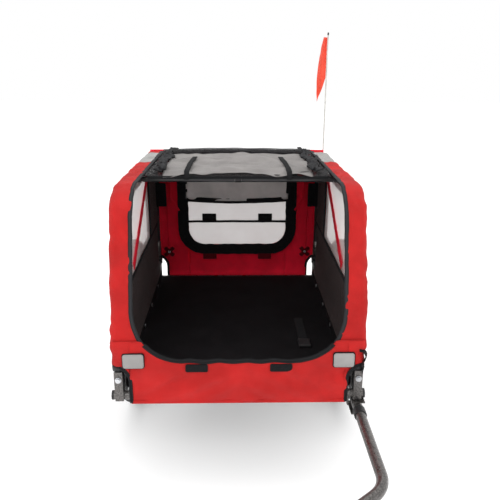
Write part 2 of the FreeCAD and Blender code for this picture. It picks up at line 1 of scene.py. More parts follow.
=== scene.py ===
"""Looks of a folding bicycle trailer: its fabric, tapes and zips, and the finish of every frame part.

Lengths are metres. The soft goods are drawn in the trailer's own coordinates, x to its left, y back from the
front crossbar's middle and z up from it, and at() brings them into the scene.
"""
import math

import bpy
from mathutils import Matrix, Vector, noise


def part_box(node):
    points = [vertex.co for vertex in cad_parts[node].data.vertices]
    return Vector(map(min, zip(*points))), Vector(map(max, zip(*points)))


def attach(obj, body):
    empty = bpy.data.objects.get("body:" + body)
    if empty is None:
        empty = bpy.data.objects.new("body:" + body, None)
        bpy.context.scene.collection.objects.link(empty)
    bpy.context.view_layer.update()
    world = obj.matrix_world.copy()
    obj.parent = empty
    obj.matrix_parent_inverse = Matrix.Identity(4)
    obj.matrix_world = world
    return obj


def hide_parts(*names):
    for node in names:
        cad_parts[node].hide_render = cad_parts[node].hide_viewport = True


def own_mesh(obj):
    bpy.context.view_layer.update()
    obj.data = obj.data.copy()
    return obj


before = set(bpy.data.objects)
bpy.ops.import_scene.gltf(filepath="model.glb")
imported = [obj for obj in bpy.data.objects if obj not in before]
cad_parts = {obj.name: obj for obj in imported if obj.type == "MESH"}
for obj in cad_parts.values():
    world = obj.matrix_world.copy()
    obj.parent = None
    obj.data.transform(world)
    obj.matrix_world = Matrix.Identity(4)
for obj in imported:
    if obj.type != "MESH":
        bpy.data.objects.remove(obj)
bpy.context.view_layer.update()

# Driving places, read from the frame.
TUBE_R = 0.011
bars_low, bars_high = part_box("crossbars")
ORIGIN = Vector((0, bars_low.y + TUBE_R, bars_low.z + TUBE_R))
LENGTH = bars_high.y - bars_low.y - 2 * TUBE_R
panel_low, panel_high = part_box("front_panel")
HALF = panel_high.x
SIDE_X = 0.287
HOOP = [(0, 0.015), (0, 0.140), (0.100, 0.474), (LENGTH, 0.457), (LENGTH, 0.015)]
HOOP_BENDS = [0.150, 0.090, 0.045]
KNEE_Z = 0.140
TUCK = 0.012
OPENING_HALF = 0.250
OPENING_Z = 0.100
CORNER_R = 0.120
SEAM_Z = 0.215
WINDOW_REAR = 0.600
REAR_Y = LENGTH + 0.0145
SIDES = {"left": 1, "right": -1}
ACROSS, BACK, UP = (1, 0, 0), (0, 1, 0), (0, 0, 1)
GRID = 0.008                  # spacing of the side covers' rows
TOP_PATCH_Y = (0.19, 0.49, 0.70)    # ends of the cheek, the red roof strip and its grey patch
FRONT_BAR_Y = 0.292
PATCH_PLACE = (0.248, 0.103)
FOCAL_MM, SENSOR_MM = 42.8, 36.0
VIEW_FROM = (-0.0108, -1.2668, 0.7906)
VIEW_PITCH, VIEW_YAW, VIEW_ROLL = 18.37, -1.60, 0.39


def at(x, y, z):
    """A point of the trailer, in the scene."""
    return ORIGIN + Vector((x, y, z))


# ---------------------------------------------------------------- materials

class Nodes:
    """A material being wired up, with short calls for the nodes that it uses."""

    def __init__(self, name, colour, roughness=0.6, metallic=0.0, **sockets):
        self.material = bpy.data.materials.new(name)
        self.material.use_nodes = True
        self.tree = self.material.node_tree
        self.shader = self.tree.nodes["Principled BSDF"]
        self.colour = colour
        self.set("Base Color", (*colour, 1))
        self.set("Roughness", roughness)
        self.set("Metallic", metallic)
        for socket, value in sockets.items():
            self.set(socket.replace("_", " "), value)
        self.material.diffuse_color = (*colour, 1)
        self.height = None

    def set(self, socket, value):
        self.shader.inputs[socket].default_value = value

    def link(self, out, into):
        self.tree.links.new(out, into)

    def math(self, operation, first, second=None):
        node = self.tree.nodes.new("ShaderNodeMath")
        node.operation = operation
        for socket, value in zip(node.inputs, (first, second)):
            if value is None:
                continue
            if isinstance(value, (int, float)):
                socket.default_value = value
            else:
                self.link(value, socket)
        return node.outputs[0]

    def coordinates(self, kind):
        return self.tree.nodes.new("ShaderNodeTexCoord").outputs[kind]

    def parts(self, vector):
        node = self.tree.nodes.new("ShaderNodeSeparateXYZ")
        self.link(vector, node.inputs[0])
        return node.outputs

    def noise(self, scale, detail=3.0, kind="Object", stretch=(1, 1, 1)):
        mapping = self.tree.nodes.new("ShaderNodeMapping")
        mapping.inputs["Scale"].default_value = stretch
        self.link(self.coordinates(kind), mapping.inputs[0])
        node = self.tree.nodes.new("ShaderNodeTexNoise")
        node.inputs["Scale"].default_value = scale
        node.inputs["Detail"].default_value = detail
        self.link(mapping.outputs[0], node.inputs["Vector"])
        return node.outputs["Fac"]

    def spread(self, fac, low, high, start=0.35, stop=0.65):
        """Turn a noise into a range of values."""
        node = self.tree.nodes.new("ShaderNodeMapRange")
        for name, value in (("From Min", start), ("From Max", stop), ("To Min", low), ("To Max", high)):
            node.inputs[name].default_value = value
        self.link(fac, node.inputs["Value"])
        return node.outputs[0]

    def vary_colour(self, fac, dark=0.8, light=1.15, tint=None):
        """Run the base colour between a darker and a lighter one."""
        node = self.tree.nodes.new("ShaderNodeMix")
        node.data_type = "RGBA"
        light_colour = tint or [min(1, c * light) for c in self.colour]
        node.inputs["A"].default_value = (*[c * dark for c in self.colour], 1)
        node.inputs["B"].default_value = (*light_colour, 1)
        self.link(self.spread(fac, 0, 1), node.inputs["Factor"])
        self.link(node.outputs["Result"], self.shader.inputs["Base Color"])
        return node

    def bump(self, height, distance, strength=1.0):
        """Add one more relief to the surface."""
        node = self.tree.nodes.new("ShaderNodeBump")
        node.inputs["Distance"].default_value = distance
        node.inputs["Strength"].default_value = strength
        self.link(height, node.inputs["Height"])
        if self.height is not None:
            self.link(self.height, node.inputs["Normal"])
        self.height = node.outputs[0]
        self.link(self.height, self.shader.inputs["Normal"])

    def ribs(self, coordinate, pitch):
        """A sine ridge every pitch metres along a coordinate."""
        return self.math("SINE", self.math("MULTIPLY", coordinate, 2 * math.pi / pitch))


def woven(name, colour, thread=0.0011, depth=0.00025, kind="UV", **sockets):
    """Plain-weave cloth with slight folds and an uneven dye."""
    sockets.setdefault("roughness", 0.78)
    sockets.setdefault("Sheen_Weight", 0.08)
    sockets.setdefault("Sheen_Roughness", 0.5)
    sockets.setdefault("Specular_IOR_Level", 0.2)
    made = Nodes(name, colour, **sockets)
    across, along, _ = made.parts(made.coordinates(kind))
    weave = made.math("MULTIPLY", made.ribs(across, thread), made.ribs(along, thread))
    made.bump(weave, depth)
    made.bump(made.noise(90, 4), 0.0012)
    made.vary_colour(made.noise(14, 5), 0.86, 1.12)
    return made


def open_mesh(name, colour, alpha, thread=0.0018, **sockets):
    """Knitted mesh that lets light through."""
    made = woven(name, colour, thread, 0.0004, **sockets)
    made.set("Alpha", alpha)
    return made


def stitched(name, colour, width, thread_colour, pitch=0.0042):
    """A tape with a ribbed face and a row of stitches near each edge."""
    made = Nodes(name, colour, 0.85, Specular_IOR_Level=0.15)
    along, across, _ = made.parts(made.coordinates("UV"))
    made.bump(made.ribs(along, 0.0014), 0.0003)
    made.bump(made.noise(160, 3), 0.0008)
    edge = made.math("ABSOLUTE", across)
    off_line = made.math("ABSOLUTE", made.math("SUBTRACT", edge, width / 2 - 0.0022))
    on_line = made.math("LESS_THAN", off_line, 0.0004)
    dash = made.math("GREATER_THAN", made.ribs(along, pitch), -0.45)
    stitch = made.math("MULTIPLY", on_line, dash)
    mix = made.vary_colour(stitch, 1.0, tint=thread_colour)
    made.link(stitch, mix.inputs["Factor"])
    made.bump(stitch, 0.0005)
    return made


def zip_tape(name):
    """A zip: black tape with a toothed coil down the middle."""
    made = Nodes(name, (0.016, 0.016, 0.018), 0.7, Specular_IOR_Level=0.25)
    along, across, _ = made.parts(made.coordinates("UV"))
    on_coil = made.math("LESS_THAN", made.math("ABSOLUTE", across), 0.0022)
    teeth = made.math("MULTIPLY", on_coil, made.math("ADD", made.ribs(along, 0.0021), 1.3))
    made.bump(teeth, 0.0006)
    made.bump(made.noise(200, 3), 0.0006)
    mix = made.vary_colour(on_coil, 0.8, tint=(0.030, 0.030, 0.033))
    made.link(on_coil, mix.inputs["Factor"])
    return made


def hook_and_loop(name, colour):
    """Fuzzy fastener tape."""
    made = Nodes(name, colour, 0.95, Sheen_Weight=0.03, Specular_IOR_Level=0.1)
    made.bump(made.noise(1400, 4), 0.0016)
    made.vary_colour(made.noise(500, 3), 0.5, 1.6)
    return made


def hammered(name, colour, dimple=0.0045):
    """Hammered enamel over steel."""
    made = Nodes(name, colour, 0.32, 0.75, Coat_Weight=0.35)
    cells = made.tree.nodes.new("ShaderNodeTexVoronoi")
    cells.feature = "SMOOTH_F1"
    cells.inputs["Scale"].default_value = 1 / dimple
    made.link(made.coordinates("Object"), cells.inputs["Vector"])
    made.bump(cells.outputs["Distance"], 0.0009)
    made.vary_colour(made.noise(260, 3), 0.65, 1.5)
    made.link(made.spread(made.noise(60, 3), 0.25, 0.45), made.shader.inputs["Roughness"])
    return made


def plastic(name, colour, roughness=0.45, grain=0.0003):
    made = Nodes(name, colour, roughness, Specular_IOR_Level=0.35)
    made.bump(made.noise(1500, 2), grain)
    made.vary_colour(made.noise(40, 3), 0.8, 1.25)
    return made


def plated(name, colour, roughness=0.3):
    made = Nodes(name, colour, roughness, 1.0)
    made.bump(made.noise(700, 3), 0.00015)
    made.link(made.spread(made.noise(120, 4), roughness * 0.75, roughness * 1.5),
              made.shader.inputs["Roughness"])
    made.vary_colour(made.noise(50, 4), 0.85, 1.1)
    return made


def enamel(name, colour, roughness=0.35):
    made = Nodes(name, colour, roughness, 0.2, Coat_Weight=0.3)
    made.bump(made.noise(500, 3), 0.0003)
    made.vary_colour(made.noise(30, 4), 0.8, 1.3)
    return made


def tyre_rubber(name, centre):
    """Black rubber with a tread of blocks round the outside and ribs on the wall."""
    made = Nodes(name, (0.018, 0.018, 0.019), 0.75)
    x, y, z = made.parts(made.coordinates("Object"))
    back, up = made.math("SUBTRACT", y, centre.y), made.math("SUBTRACT", z, centre.z)
    angle = made.math("ARCTAN2", up, back)
    off_middle = made.math("SUBTRACT", made.math("ABSOLUTE", x), centre.x)
    slanted = made.math("ADD", made.math("MULTIPLY", angle, 90), made.math("MULTIPLY", off_middle, 260))
    block = made.math("GREATER_THAN", made.math("SINE", slanted), -0.1)
    groove = made.math("GREATER_THAN", made.math("ABSOLUTE", off_middle), 0.002)
    radius = made.math("SQRT", made.math("ADD", made.math("MULTIPLY", back, back),
                                         made.math("MULTIPLY", up, up)))
    on_tread = made.math("GREATER_THAN", radius, 0.240)
    tread = made.math("MULTIPLY", on_tread, made.math("MULTIPLY", block, groove))
    made.bump(tread, 0.0022)
    made.bump(made.math("SINE", made.math("MULTIPLY", radius, 1500)), 0.0002)
    made.vary_colour(made.noise(60, 4), 0.75, 1.5)
    return made


def film(name):
    """Milky see-through window sheet."""
    made = Nodes(name, (1.0, 0.90, 0.89), 0.3, Alpha=0.50, Specular_IOR_Level=0.4)
    made.bump(made.noise(16, 3), 0.004)
    made.vary_colour(made.noise(9, 3), 0.93, 1.05)
    return made


RED = (0.54, 0.015, 0.014)
wheel_low, wheel_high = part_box("left_tyre")
LOOKS = {
    "red": woven("red_oxford", RED, Sheen_Weight=0.03),
    "red_inside": woven("red_lining", (0.90, 0.008, 0.035), roughness=0.9, Sheen_Weight=0.02),
    "dark_red": hook_and_loop("dark_red_tab", (0.10, 0.004, 0.008)),
    "lining": woven("dark_lining", (0.040, 0.024, 0.023), 0.0016, 0.0004, Sheen_Weight=0.05),
    "floor": woven("floor_cloth", (0.010, 0.009, 0.010), 0.0010, 0.0002, roughness=0.9, Sheen_Weight=0.0,
                   Specular_IOR_Level=0.08),
    "grey": woven("reflective_grey", (0.36, 0.35, 0.34), 0.0009, 0.0002, roughness=0.45, Metallic=0.25),
    "mesh": open_mesh("roof_net", (0.035, 0.033, 0.035), 0.66),
    "cover": open_mesh("cover_net", (0.36, 0.34, 0.33), 0.80),
    "flap": open_mesh("window_flap", (0.86, 0.81, 0.79), 0.82, roughness=0.6),
    "film": film("window_sheet"),
    "tape": stitched("binding_tape", (0.012, 0.012, 0.013), 0.010, (0.05, 0.05, 0.055)),
    "zip": zip_tape("zip_tape"),
    "webbing": stitched("webbing", (0.013, 0.013, 0.014), 0.025, (0.045, 0.045, 0.05)),
    "fuzzy": hook_and_loop("hook_and_loop", (0.010, 0.010, 0.011)),
    "pennant": woven("pennant_nylon", (0.86, 0.085, 0.045), 0.0006, 0.0001, roughness=0.6),
    "hammered": hammered("hammered_grey", (0.105, 0.098, 0.094)),
    "steel": plated("zinc_steel", (0.55, 0.56, 0.58)),
    "alloy": plated("satin_alloy", (0.60, 0.61, 0.63), 0.38),
    "black_steel": enamel("black_enamel", (0.014, 0.014, 0.015)),
    "plastic": plastic("black_plastic", (0.014, 0.014, 0.015)),
    "reflector": plastic("amber_reflector", (0.85, 0.22, 0.02), 0.15, 0.0),
    "rod": plastic("pale_rod", (0.55, 0.54, 0.50), 0.3, 0.0001),
    "tyre": tyre_rubber("tyre_rubber", (wheel_low + wheel_high) / 2),
}


def look(key):
    return LOOKS[key].material


# ---------------------------------------------------------------- mesh work

def mesh_piece(name, points, faces, key, body, uvs=None, smooth=True):
    """A mesh in the scene, on one of the frame's bodies."""
    mesh = bpy.data.meshes.new(name)
    mesh.from_pydata([at(*p) for p in points], [], faces)
    if uvs:
        layer = mesh.uv_layers.new(name="UVMap")
        for polygon in mesh.polygons:
            for loop in polygon.loop_indices:
                layer.data[loop].uv = uvs[mesh.loops[loop].vertex_index]
    mesh.materials.append(look(key))
    for polygon in mesh.polygons:
        polygon.use_smooth = smooth
    mesh.update()
    made = bpy.data.objects.new(name, mesh)
    bpy.context.scene.collection.objects.link(made)
    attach(made, body)
    return made


def lumps(point, size, height, seed=0.0):
    """Soft wrinkles of about a size, as a height."""
    return height * noise.noise(Vector(point) / size + Vector((seed, seed * 1.7, -seed)))


def cloth(name, surface, steps, key, body, relief=None, thick=0.0012,
          replaces=()):
    """A cloth sheet over surface(u, v), pushed along its normal by relief(point, u, v); the frame parts that
    it replaces are hidden.
    """
    across, down = steps
    flat_points, points = [], []
    small = 1e-4
    for j in range(down + 1):
        for i in range(across + 1):
            u, v = i / across, j / down
            point = Vector(surface(u, v))
            low_u, low_v = min(u, 1 - small), min(v, 1 - small)
            normal = (Vector(surface(low_u + small, v)) - Vector(surface(low_u, v))).cross(
                Vector(surface(u, low_v + small)) - Vector(surface(u, low_v)))
            flat_points.append(point)
            push = relief(point, u, v) if relief else 0.0
            points.append(point + normal.normalized() * push if normal.length > 1e-12 else point)
    row = across + 1
    faces = [(k, k + 1, k + 1 + row, k + row) for j in range(down) for k in range(j * row, j * row + across)]
    runs = [0.0] * len(points)
    drops = [0.0] * len(points)
    for k, point in enumerate(flat_points):
        if k % row:
            runs[k] = runs[k - 1] + (point - flat_points[k - 1]).length
        if k >= row:
            drops[k] = drops[k - row] + (point - flat_points[k - row]).length
    uvs = list(zip(runs, drops))
    made = mesh_piece(name, points, faces, key, body, uvs)
    shell = made.modifiers.new("thickness", "SOLIDIFY")
    shell.thickness, shell.offset = thick, 0
    if replaces:
        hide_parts(*replaces)
    return made


def evenly(points, spacing):
    """The same line with points an even distance apart."""
    points = [Vector(p) for p in points]
    runs = [0.0]
    for a, b in zip(points, points[1:]):
        runs.append(runs[-1] + (b - a).length)
    count = max(2, round(runs[-1] / spacing))
    made, k = [], 0
    for i in range(count + 1):
        want = runs[-1] * i / count
        while k < len(points) - 2 and runs[k + 1] < want:
            k += 1
        share = (want - runs[k]) / max(runs[k + 1] - runs[k], 1e-9)
        made.append(points[k].lerp(points[k + 1], min(1, max(0, share))))
    return made


def tape(name, line, across, width, key, body, thick=0.0022, crumple=0.0, spacing=0.006, seed=0.0):
    """A band along a line; across gives the way its width lies, as a vector or a function of the point."""
    line = evenly(line, spacing)
    section = [(-0.5, -0.3), (-0.42, -0.5), (0.42, -0.5), (0.5, -0.3), (0.5, 0.3), (0.42, 0.5), (-0.42, 0.5),
               (-0.5, 0.3)]
    points, uvs, travelled = [], [], 0.0
    for k, point in enumerate(line):
        ahead, behind = line[min(k + 1, len(line) - 1)], line[max(k - 1, 0)]
        tangent = (ahead - behind).normalized()
        wide = Vector(across(point) if callable(across) else across)
        wide = (wide - tangent * wide.dot(tangent)).normalized()
        thin = tangent.cross(wide)
        travelled += (point - line[k - 1]).length if k else 0
        for a, b in section:
            spot = point + wide * a * width + thin * b * thick
            if crumple:
                spot += thin * lumps(spot, 0.016, crumple, seed) + wide * lumps(spot, 0.022, crumple,
                                                                                seed + 5)
            points.append(spot)
            uvs.append((travelled, a * width))
    ring = len(section)
    faces = [(k * ring + i, k * ring + (i + 1) % ring, (k + 1) * ring + (i + 1) % ring, (k + 1) * ring + i)
             for k in range(len(line) - 1) for i in range(ring)]
    faces += [tuple(range(ring))[::-1], tuple(range(len(points) - ring, len(points)))]
    return mesh_piece(name, points, faces, key, body, uvs)


def pad(name, centre, size, key, body, thick, round_off=0.2, across=ACROSS, up=UP):
    """A small rectangle with rounded corners and a softly crowned face, such as a tab or a patch."""
    across, up = Vector(across).normalized(), Vector(up).normalized()
    out, centre = across.cross(up), Vector(centre)
    width, height = size
    corner = min(size) * round_off
    outline = []
    for sx, sy, start in ((1, 1, 0), (-1, 1, 90), (-1, -1, 180), (1, -1, 270)):
        for step in range(5):
            turn = math.radians(start + step * 22.5)
            outline.append((sx * (width / 2 - corner) + corner * math.cos(turn),
                            sy * (height / 2 - corner) + corner * math.sin(turn)))
    levels = [(1.0, -0.5), (1.0, 0.2), (0.93, 0.5), (0.5, 0.62)]
    points, uvs = [], []
    for share, level in levels:
        for x, y in outline:
            points.append(centre + across * x * share + up * y * share + out * level * thick)
            uvs.append((x * share, y * share))
    points.append(centre + out * 0.65 * thick)
    uvs.append((0, 0))
    ring = len(outline)
    faces = [(k * ring + i, k * ring + (i + 1) % ring, (k + 1) * ring + (i + 1) % ring, (k + 1) * ring + i)
             for k in range(len(levels) - 1) for i in range(ring)]
    top = len(points) - 1
    faces += [((len(levels) - 1) * ring + i, (len(levels) - 1) * ring + (i + 1) % ring,
               top) for i in range(ring)]
    faces.append(tuple(range(ring))[::-1])
    return mesh_piece(name, points, faces, key, body, uvs)


def turned(name, outline, centre, axis, key, body, sides=20):
    """A small round part: (radius, height) points turned about an axis through its centre."""
    axis, centre = Vector(axis).normalized(), Vector(centre)
    first = axis.orthogonal().normalized()
    second = axis.cross(first)
    points = [centre + axis * h + (first * math.cos(a) + second * math.sin(a)) * r
              for r, h in outline for a in (2 * math.pi * k / sides for k in range(sides))]
    faces = [(j * sides + i, j * sides + (i + 1) % sides, (j + 1) * sides + (i + 1) % sides,
              (j + 1) * sides + i)
             for j in range(len(outline) - 1) for i in range(sides)]
    faces += [tuple(range(sides))[::-1], tuple(range(len(points) - sides, len(points)))]
    return mesh_piece(name, points, faces, key, body)


def crumples(*made):
    """Give each piece of fabric on the base frame a mesh of its own (the real fabric folds down flat as the
    sides fold in).
    """
    for piece in made:
        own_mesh(piece)


def arc(centre, radius, start, stop, steps=14):
    """Points of an arc in a flat (a, b) plane, with angles in degrees."""
    turns = [math.radians(start + (stop - start) * k / steps) for k in range(steps + 1)]
    return [(centre[0] + radius * math.cos(t), centre[1] + radius * math.sin(t)) for t in turns]


def hoop_line(offset):
    """The side hoop's outline, (y, z), a distance outside its middle."""
    corners = [Vector(p) for p in HOOP]
    line = [corners[0]]
    for before, corner, after, radius in zip(corners, corners[1:], corners[2:], HOOP_BENDS):
        inward, outward = (before - corner).normalized(), (after - corner).normalized()
        half = inward.angle(outward) / 2
        centre = corner + (inward + outward).normalized() * (radius / math.sin(half))
        start, stop = (corner + way * (radius / math.tan(half)) - centre for way in (inward, outward))
        sweep = start.angle_signed(stop)
        line += [centre + Matrix.Rotation(-sweep * k / 12, 2) @ start for k in range(13)]
    line.append(corners[-1])
    out = []
    for k, point in enumerate(line):
        way = (line[min(k + 1, len(line) - 1)] - line[max(k - 1, 0)]).normalized()
        out.append(point + Vector((-way.y, way.x)) * offset)
    return out


class Wrap:
    """The hoop's outline as a smooth function of the distance along it."""

    def __init__(self):
        self.line = evenly([Vector((0, p[0], p[1])) for p in hoop_line(0)], 0.004)
        self.length = 0.004 * (len(self.line) - 1)

    def spot(self, run):
        place = min(max(run / self.length, 0), 1) * (len(self.line) - 1)
        k = min(int(place), len(self.line) - 2)
        point = self.line[k].lerp(self.line[k + 1], place - k)
        way = (self.line[min(k + 3, len(self.line) - 1)] - self.line[max(k - 2, 0)]).normalized()
        return point, Vector((0, -way.z, way.y))

    def run_at(self, test):
        for k, point in enumerate(self.line):
            if test(point):
                return self.length * k / (len(self.line) - 1)
        return self.length


WRAP = Wrap()
RUN_KNEE = WRAP.run_at(lambda p: p.z > KNEE_Z - 0.004)
RUN_TOP = WRAP.run_at(lambda p: p.y > LENGTH - 0.020)


def run_for(y):
    """Distance along the hoop to a place on its top rail."""
    return WRAP.run_at(lambda p: p.y >= y and p.z > 0.4)


def opening_x(z):
    """Half-width of the front opening at a height."""
    if z >= OPENING_Z + CORNER_R:
        return OPENING_HALF
    inner = OPENING_HALF - CORNER_R
    return inner + math.sqrt(max(0, CORNER_R ** 2 - (OPENING_Z + CORNER_R - z) ** 2))


def opening_z(x):
    """Height of the front panel's upper edge at a distance from the middle."""
    inner = OPENING_HALF - CORNER_R
    if abs(x) <= inner:
        return OPENING_Z + 0.0015 * math.sin(95 * x)
    reach = min(abs(x) - inner, CORNER_R * 0.9999)
    return min(KNEE_Z + TUCK, OPENING_Z + CORNER_R - math.sqrt(CORNER_R ** 2 - reach ** 2))


def rail_height(y):
    """Height of the top rail's middle."""
    (y0, z0), (y1, z1) = HOOP[2], HOOP[3]
    return z0 + (z1 - z0) * (y - y0) / (y1 - y0)


# ---------------------------------------------------------------- soft goods

def side_cover(side, sign):
    """The red cloth round a side hoop: cheek, roof strip, and a border down the outside."""
    inner_flat, wrap_r, border = SIDE_X - OPENING_HALF, 0.0160, 0.050
    quarter = wrap_r * math.pi / 2
    body = f"{side}_side"
    whole = inner_flat + quarter + border

    def spot(run, v):
        centre, out = WRAP.spot(run)
        along = v * whole
        edge = min(opening_x(centre.z + 0.004) if centre.y < 0.05 else OPENING_HALF, SIDE_X)
        if along <= inner_flat:
            x, push = edge + (SIDE_X - edge) * along / inner_flat, wrap_r
        elif along <= inner_flat + quarter:
            turn = (along - inner_flat) / wrap_r
            x, push = SIDE_X + wrap_r * math.sin(turn), wrap_r * math.cos(turn)
        else:
            down = along - inner_flat - quarter
            x, push = SIDE_X + wrap_r - 0.008 * (down / border) ** 1.5, -down
        point = centre + out * push
        return Vector((sign * x, point.y, point.z))

    def relief(point, u, v):
        folds = lumps((0, point.y, point.z), 0.06, 0.0036, sign * 3.0) + lumps(point, 0.022, 0.0022, 9 * sign)
        cross = 0.0022 * math.sin(point.z * 200 + point.x * 260 + 6 * noise.noise(point * 9)) * (
            0.3 + noise.noise(point * 14))
        return sign * (folds + cross) * min(1, 6 * v + 0.25)

    band_start, grey_start, grey_end = (run_for(y) for y in TOP_PATCH_Y)
    lengths = [("cheek", RUN_KNEE, band_start, "red"), ("roof_strip_band", band_start, grey_start, "red"),
               ("reflective_band", grey_start, grey_end, "grey"),
               ("roof_strip_end", grey_end, RUN_TOP + 0.030, "red")]
    made = []
    for label, start, stop, key in lengths:
        steps = (max(6, round((stop - start) / GRID)), 20)
        made.append(cloth(f"{side}_{label}", lambda u, v, a=start, b=stop: spot(a + (b - a) * u, v), steps,
                          key, body, relief, 0.0013))

    def edge_point(run):
        return spot(run, 0.02)

    runs = [RUN_KNEE + (run_for(0.62) - RUN_KNEE) * k / 90 for k in range(91)]
    line = [edge_point(run) for run in runs]
    tape(f"{side}_entrance_zip", line, ACROSS, 0.0100, "zip", body, 0.0032, 0.0010, seed=sign)
    runs = [run_for(0.62) + (RUN_TOP - run_for(0.62)) * k / 20 for k in range(21)]
    tape(f"{side}_roof_zip", [edge_point(run) for run in runs], ACROSS, 0.0125, "zip", body, 0.003)
    piping = [spot(RUN_KNEE + (RUN_TOP - RUN_KNEE) * k / 120, 1.0) for k in range(121)]
    tape(f"{side}_outer_binding", piping, lambda p: (0, 0.4, -1), 0.008, "tape", body, 0.0026)
    return made


def front_panel():
    """The low red panel, with its bound upper edge, reflective patches, tabs and bound cut-outs."""
    front_y = panel_low.y - ORIGIN.y + 0.0015
    low, cut_x, cut_r, cut_z = panel_low.z - ORIGIN.z, 0.258, 0.045, 0.045
    centre_x = cut_x + cut_r
    patch_x, patch_z = PATCH_PLACE

    def lower(x):
        if abs(x) <= cut_x:
            return low
        return cut_z + math.sqrt(max(0, cut_r ** 2 - (centre_x - abs(x)) ** 2))

    columns = 76
    xs = sorted([HALF * 1.002 * (2 * k / columns - 1) for k in range(columns + 1)]
                + [cut_x, -cut_x, cut_x + 1e-4, -cut_x - 1e-4])

    def wrap(x):
        """The panel's ends bend back round the hoops."""
        over = max(0, abs(x) - SIDE_X)
        return over ** 2 * 30

    def spot(u, v):
        place = u * (len(xs) - 1)
        k = min(int(place), len(xs) - 2)
        x = xs[k] + (xs[k + 1] - xs[k]) * (place - k)
        z = lower(x) + (opening_z(x) - lower(x)) * v
        belly = 0.004 * math.sin(math.pi * v) * (1 - (x / HALF) ** 2)
        return Vector((x, front_y + wrap(x) - belly, z))

    def relief(point, u, v):
        slant = point.z * 1.6 + abs(point.x) * 0.8
        pull = lumps((point.x * 0.7, 0, slant), 0.055, 0.0100) + lumps(point, 0.025, 0.0026, 4)
        return pull * (0.30 + 0.70 * math.sin(math.pi * min(1, v * 1.1)))

    edge = [flat_spot(x, opening_z(x), front_y + wrap(x) - 0.0012)
            for x in (0.222 * (2 * k / 80 - 1) for k in range(81))]
    tape("entrance_binding", edge, UP, 0.0110, "tape", "frame", 0.0040, 0.0010)
    for side, sign in SIDES.items():
        curve = [(sign * cut_x, low)] + [(sign * (centre_x - (x - centre_x)), z) for x, z in
                                         arc((centre_x, cut_z), cut_r, 0, 82)]
        line = [flat_spot(x, z, front_y + wrap(x)) for x, z in curve]
        middle = Vector((sign * centre_x, front_y, cut_z))
        tape(f"{side}_cutout_binding", line, lambda p, m=middle: (p - m) + Vector((0, 0, 1e-4)),
                          0.0085, "tape", "frame", 0.003)
        pad(f"{side}_reflective_patch", (sign * patch_x, front_y - 0.0062, patch_z),
                         (0.049, 0.036), "grey", "frame", 0.004, 0.16)
        pad(f"{side}_patch_edge", (sign * patch_x, front_y - 0.0040, patch_z), (0.053, 0.040),
                         "tape", "frame", 0.003, 0.16)
        pad(f"{side}_front_tab", (sign * 0.100, front_y - 0.0042, 0.083), (0.053, 0.020),
                         "fuzzy", "frame", 0.003)
    hem = [flat_spot(x, low + 0.002, front_y) for x in (-cut_x, -0.1, 0.1, cut_x)]
    tape("front_hem", hem, UP, 0.008, "red", "frame", 0.0028)
    return cloth("front_wall", spot, (len(xs) - 1, 18), "red", "frame", relief, 0.0014,
                 ["front_panel", "front_cheeks"])


def flat_spot(x, z, y):
    """A point of the front wall, given across and up before its depth."""
    return Vector((x, y, z))


def floor_sheet():
    """The taut floor with its side hems turned up and held by snaps."""
    half, start, stop, low, top = 0.2745, 0.014, LENGTH - 0.014, 0.013, 0.0355
    rise = top - low
    bend = 0.006

    def spot(u, v):
        flat = 2 * (half + rise)
        across = (u - 0.5) * flat
        over = abs(across) - half
        y = start + (stop - start) * v
        if over <= -bend:
            return Vector((across, y, low))
        side = math.copysign(1, across)
        blend = min(1, (over + bend) / (2 * bend))
        if blend < 1:
            turn = blend * math.pi / 2
            return Vector((side * (half - bend + bend * math.sin(turn)), y,
                           low + bend * (1 - math.cos(turn))))
        return Vector((side * half, y, low + over))

    def relief(point, u, v):
        return lumps(point, 0.09, 0.0010) + lumps(point, 0.03, 0.0005, 3)

    return cloth("floor_cloth", spot, (96, 96), "floor", "frame", relief, 0.0016,
                 ["floor_panel"])


